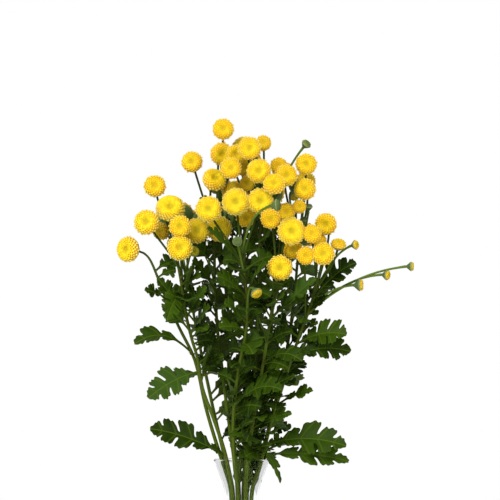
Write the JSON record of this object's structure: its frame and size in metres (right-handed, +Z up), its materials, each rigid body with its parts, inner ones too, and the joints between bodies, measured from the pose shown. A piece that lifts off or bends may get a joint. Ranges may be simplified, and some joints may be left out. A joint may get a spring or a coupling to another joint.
{
  "type": "vase of feverfew",
  "caption": "Bunch of yellow button feverfew with lobed leaves, standing in water in a clear glass vase with a narrow neck.",
  "frame": {"origin": "centre of the vase's flat underside", "axes": "+Z up along the vase's axis, -Y towards the front of the bunch, +X to its right"},
  "size_m": [0.207, 0.1225, 0.4388],
  "materials": {
    "yellow_florets": "matt, velvety florets",
    "green_stems_and_leaves": "satin, softly hairy leaves and ribbed stems",
    "clear_glass": "clear polished glass",
    "water": "clear water"
  },
  "bodies": {
    "root": {"flower_head_1": "yellow_florets", "flower_head_10": "yellow_florets", "flower_head_11": "yellow_florets", "flower_head_12_26": "yellow_florets", "flower_head_13": "yellow_florets", "flower_head_14": "yellow_florets", "flower_head_15": "yellow_florets", "flower_head_16": "yellow_florets", "flower_head_17": "yellow_florets", "flower_head_18": "yellow_florets", "flower_head_19": "yellow_florets", "flower_head_2": "yellow_florets", "flower_head_20": "yellow_florets", "flower_head_21": "yellow_florets", "flower_head_22": "yellow_florets", "flower_head_23": "yellow_florets", "flower_head_24": "yellow_florets", "flower_head_25": "yellow_florets", "flower_head_27": "yellow_florets", "flower_head_28": "yellow_florets", "flower_head_29": "yellow_florets", "flower_head_3": "yellow_florets", "flower_head_30": "yellow_florets", "flower_head_31_32": "yellow_florets", "flower_head_33_34": "yellow_florets", "flower_head_35": "yellow_florets", "flower_head_36": "yellow_florets", "flower_head_37": "yellow_florets", "flower_head_38_39": "yellow_florets", "flower_head_4": "yellow_florets", "flower_head_40": "yellow_florets", "flower_head_41": "yellow_florets", "flower_head_43": "yellow_florets", "flower_head_44": "yellow_florets", "flower_head_45_46_47_57": "yellow_florets", "flower_head_48_49": "yellow_florets", "flower_head_5": "yellow_florets", "flower_head_50": "yellow_florets", "flower_head_51_52_53_54": "yellow_florets", "flower_head_55_56": "yellow_florets", "flower_head_58_59": "yellow_florets", "flower_head_6": "yellow_florets", "flower_head_60": "yellow_florets", "flower_head_7": "yellow_florets", "flower_head_8": "yellow_florets", "flower_head_9_42": "yellow_florets", "flowering_stem_back": "green_stems_and_leaves", "flowering_stem_back_left": "green_stems_and_leaves", "flowering_stem_back_right": "green_stems_and_leaves", "flowering_stem_far_back_right": "green_stems_and_leaves", "flowering_stem_far_left": "green_stems_and_leaves", "flowering_stem_front_left": "green_stems_and_leaves", "flowering_stem_front_right": "green_stems_and_leaves", "flowering_stem_inner_back": "green_stems_and_leaves", "flowering_stem_inner_left": "green_stems_and_leaves", "flowering_stem_inner_right": "green_stems_and_leaves", "flowering_stem_left": "green_stems_and_leaves", "flowering_stem_right": "green_stems_and_leaves", "vase": "clear_glass", "water": "water"}
  },
  "joints": []
}
